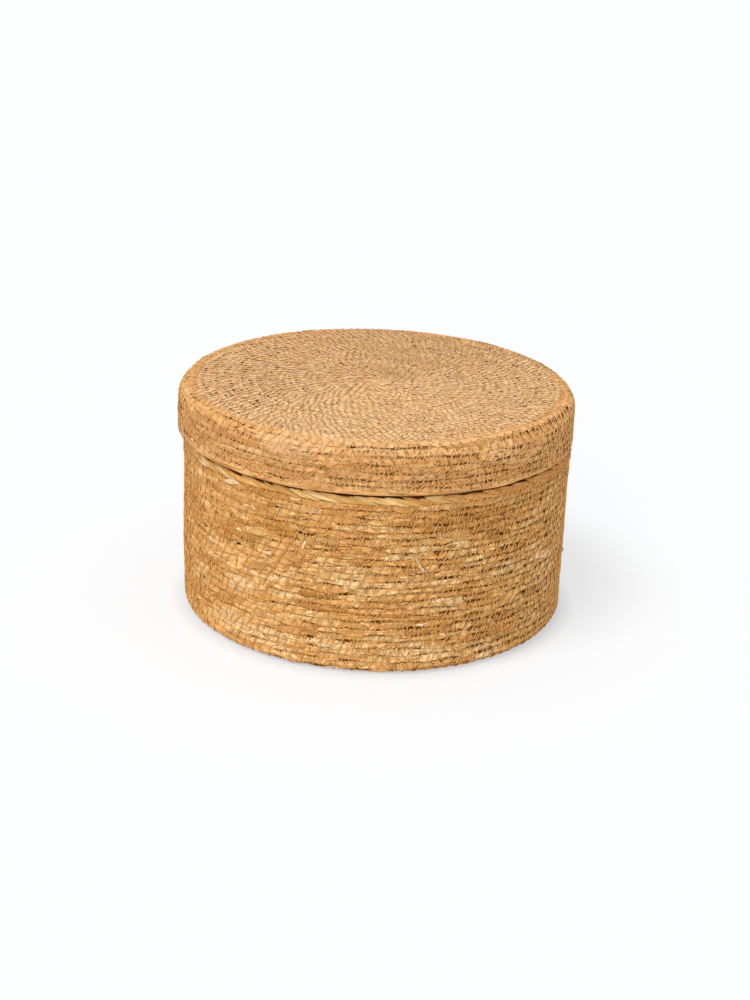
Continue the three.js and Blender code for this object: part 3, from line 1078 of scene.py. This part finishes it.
def needle_hole_shade():
    """Dark discs of painted shade in the widest needle holes of the lid's top, mostly at its left and right.
    """
    rng = np.random.default_rng(61)
    data = MeshData()
    angle = lid_top.lap + TURN * top_sewing.holes
    share = top_sewing.holes / lid_top.courses
    chance = 0.05 * np.sin(angle) ** 2 * np.clip(2.5 * share - 0.9, 0, 1) * (1.3 - np.sin(angle))
    for turn in top_sewing.holes[rng.random(len(angle)) < chance]:
        seam = lid_top.seam(turn)
        reach = rng.uniform(0.7, 1.5) * MM / lid_top.profile.at(seam, 0)[0] / TURN
        turns = turn + reach * np.linspace(-1, 1, 4)
        s = np.full(4, seam + rng.normal(0, 0.6) * MM)
        height = lid_top.skin(0) + (0.1 - 0.3 * np.array([1, 0, 0, 1])) * MM
        add_line(data, lid_top, turns, s, height, rng.uniform(0.42, 0.75) * MM, 6, linear(112, 64, 30), 5.0)
    data.build("lid_top_hole_shade", core_fibre, "lid")


needle_hole_shade()


def along_path(path):
    """Even shares of a path, and the angle, length along the profile and height there."""
    share, knots = np.linspace(0, 1, SLIP_RINGS), np.linspace(0, 1, len(path))
    angle, s, height = (np.interp(share, knots, column) for column in np.transpose(path))
    return share, np.radians(angle), s, height


def add_slip(data, sewing, handed, path, half, tint, blunt=False):
    """One strip of leaf along a path with angles in degrees, and with its half width at both ends."""
    coil, across = sewing.coil, SLIP_ACROSS
    share, angle, s, height = along_path(path)
    radius = coil.profile.at(s, height)[0]
    ahead, aside = np.gradient(angle) * radius, np.gradient(s)
    size = np.hypot(ahead, aside)
    taper = (np.ones(SLIP_RINGS) if blunt else spindle(2 * share - 1) + 0.02)[:, None]
    width = np.interp(share, (0, 1), half)[:, None] * taper * across
    s = s[:, None] + width * (ahead / size)[:, None]
    turn = coil.turn_through(angle[:, None] - width * (aside / size / radius)[:, None], s)
    lift = height[:, None] + 0.3 * MM * (1 - across**2) - (0.3 + 0.8 * taper) * MM * SLIP_UNDER
    lift = lift - 0.4 * MM * sewing.pull(turn, s)
    seams = [sewing.mark(beside, s, 0.0) for beside in (turn - 1, turn)]
    run = np.concatenate([[0], np.cumsum(size[1:])])
    grain = (np.repeat(run, len(across)), width, (0, 0, run[-1] * 997 % 10))
    add_leaf(data, coil.point(turn, s, lift), tint, handed, handed > 0, *grain, seams)


def loose_leaves():
    """The loose ends and pale patches that stand out on the wall."""
    data = MeshData()

    def lay(path, half, tint, blunt=False):
        """A path of angle, height and lift over the strips, all but the angle in millimetres."""
        half = np.broadcast_to(half, 2) * MM
        spots = [(a, body_profile.length_at_height(z * MM), wall.skin(0) + up * MM) for a, z, up in path]
        add_slip(data, wall_sewing, 1, spots, half, linear(*tint), blunt)

    lay([(-19.8, 93.5, 0.4), (-19.2, 97, 1.5), (-18.6, 100.5, 0.8)], 1.1, (246, 222, 178))
    lay([(-21.0, 102, 0.3), (-19.9, 99.9, 1.0), (-18.4, 99.2, 0.5)], 0.7, (228, 184, 124))
    lay([(11.3, 93.9, 0.2), (12.8, 88, 0.7), (14.5, 80.7, 1.0)], (0.4, 1.3), (234, 202, 164), blunt=True)
    lay([(20.3, 34.1, 0.4), (25.2, 41.7, 0.9)], 2.2, (208, 154, 90), blunt=True)
    lay([(13.1, 39.6, 0.4), (14.7, 38.9, 0.9), (16.3, 39.5, 0.5)], 0.9, (250, 232, 200))
    lay([(22.2, 28.2, 0.4), (26, 30, 0.6), (29.7, 32.3, 0.4)], 0.7, (240, 208, 164))
    lay([(15.9, 71.3, 0.1), (21, 71, 0.2), (26.8, 69.9, 0.1)], 2.4, (244, 210, 158))
    lay([(20.4, 99.1, 0.1), (27.4, 99.2, 0.1)], 2.3, (232, 200, 150))
    lay([(-8.2, 67.2, 0.1), (-0.3, 65.0, 0.1)], 2.5, (228, 206, 152))
    lay([(-14.6, 20.4, 0.1), (-7.3, 21.6, 0.1)], 2.0, (246, 220, 180))
    lay([(14.6, 20.9, 0.1), (21.1, 22.2, 0.1)], 1.8, (244, 214, 170))
    lay([(-27.6, 23.6, 0.1), (-21.4, 22.6, 0.1)], 1.9, (242, 212, 170))
    lay([(-47.3, 128.4, 0.9), (-44, 129.6, 1.2), (-40.5, 130.4, 0.9)], 1.5, (232, 200, 150))
    lay([(-61.5, 132.0, 0.9), (-54.5, 133.2, 1.3)], 1.4, (232, 204, 158))
    lay([(-25.5, 5.6, 0.2), (-22.5, 4.6, 1.2), (-19.8, 4.2, 0.4)], 2.0, (226, 174, 110))
    lay([(77, 58.5, 0.3), (80, 55.5, 2.0), (83, 53, 0.3)], 1.6, (220, 164, 98))
    data.build("wall_loose_leaves", wall_leaf, "box", FLOOR)


loose_leaves()


def lid_end():
    """The blunt end of the lid's outermost course, a dashed dark line of painted shadow under the lip beside
    it, and a stray fibre on the skirt.
    """
    data = MeshData()
    skin = lid_skirt.skin(0)

    def spots(path, up):
        return [(a, SKIRT_EDGE + s * MM, skin + up * MM) for a, s in path]

    def trail(path, up, radius, tint):
        _, angle, s, height = along_path(spots(path, up))
        add_line(data, lid_skirt, (angle - LID_LAP) / TURN, s, height, radius * MM, 5, linear(*tint), 3.0)

    band = spots([(10, -8.4), (20, -7.0), (30, -6.2), (37.4, -6.0)], 0.2)
    add_slip(data, lid_sewing, -1, band, np.array((0.8, 2.6)) * MM, linear(218, 166, 104), blunt=True)
    rng = np.random.default_rng(51)
    # Painted shadow: short dark brown dashes under the lip of the band.
    for begin in np.arange(-8, 29, 2.9):
        ends = np.array((begin, begin + rng.uniform(1.2, 2.6)))
        lip = np.interp(ends, (-8, 5, 18, 30), (-6.3, -7.2, -7.8, -7.4)) + rng.normal(0, 0.15, 2)
        trail(list(zip(ends, lip + 0.8)), 0.15, 0.3, (96, 58, 26))
    trail([(-21.5, -2.3), (-20, -0.3), (-18, -1.3), (-17, -2.8)], 0.7, 0.3, (244, 212, 162))
    data.build("lid_course_end", lid_leaf, "lid")


lid_end()

# Stage


def seen_directly(tree):
    """One for the rays that show the stage itself: to the camera, in gloss and through glass."""
    path = add_node(tree, "LightPath").outputs
    gloss = calc(tree, "MAXIMUM", path["Is Camera Ray"], path["Is Glossy Ray"])
    return calc(tree, "MAXIMUM", gloss, path["Is Transmission Ray"])


def floor():
    """A pale floor that shows white to the camera, but for the box's shadow and a painted contact shadow at
    its foot, darker where ambient occlusion finds the box close by.
    """
    bpy.ops.mesh.primitive_plane_add(size=40, location=(0, 0, FLOOR))
    plane = bpy.context.object
    plane.name = "floor"
    material, tree, shader = nodes_of("floor")
    shader.inputs["Roughness"].default_value = 1.0
    shader.inputs["Specular IOR Level"].default_value = 0.0
    shader.inputs["Emission Color"].default_value = (0.98, 1, 1.02, 1)
    seen = seen_directly(tree)
    grey = ramp(tree, seen, (0, 1), (0.8, 0.36))
    beside = add_node(tree, "AmbientOcclusion", {"Distance": 16 * MM}, samples=8).outputs["AO"]
    glow = calc(tree, "MULTIPLY", seen, ramp(tree, beside, (0.5, 1.0), (0.475, 0.615)))
    tree.links.new(grey, shader.inputs["Base Color"])
    tree.links.new(glow, shader.inputs["Emission Strength"])
    plane.data.materials.append(material)


def soft_sun(name, azimuth, elevation, spread, strength):
    """A far, wide lamp, placed by its angle from the front towards the right and its height."""
    data = bpy.data.lights.new(name, "SUN")
    data.energy, data.angle = strength, math.radians(spread)
    lamp = bpy.data.objects.new(name, data)
    turn, rise = math.radians(azimuth), math.radians(elevation)
    toward = Vector((math.sin(turn) * math.cos(rise), -math.cos(turn) * math.cos(rise), math.sin(rise)))
    lamp.rotation_euler = toward.to_track_quat("Z", "Y").to_euler()
    bpy.context.scene.collection.objects.link(lamp)


def lights():
    soft_sun("key", azimuth=-48, elevation=63, spread=22, strength=1.39)
    soft_sun("front", azimuth=-10, elevation=29, spread=40, strength=0.95)
    world = bpy.data.worlds.new("studio")
    world.use_nodes = True
    tree = world.node_tree
    sky = tree.nodes["Background"]
    sky.inputs["Color"].default_value = (1, 1, 1, 1)
    strength = ramp(tree, seen_directly(tree), (0, 1), (0.52, 1.0))
    tree.links.new(strength, sky.inputs["Strength"])
    bpy.context.scene.world = world


def camera():
    """The photograph's view, from a fit to the box's outline."""
    distance, elevation, roll = 1.622, math.radians(20.6), math.radians(2.3)
    sensor, focal_widths = 36, 2.0925
    aim = Vector((0, 0, cad_box[1].z / 2))
    place = aim + distance * Vector((0, -math.cos(elevation), math.sin(elevation)))
    data = bpy.data.cameras.new("photo_view")
    data.sensor_width, data.sensor_fit = sensor, "AUTO"
    data.lens = sensor * focal_widths
    data.shift_y = -0.0106
    view = bpy.data.objects.new("photo_view", data)
    facing = (aim - place).to_track_quat("-Z", "Y").to_matrix().to_4x4()
    view.matrix_world = Matrix.Translation(place) @ facing @ Matrix.Rotation(roll, 4, "Z")
    bpy.context.scene.collection.objects.link(view)
    bpy.context.scene.camera = view


floor()
lights()
camera()
bpy.context.scene.view_settings.view_transform = "Standard"
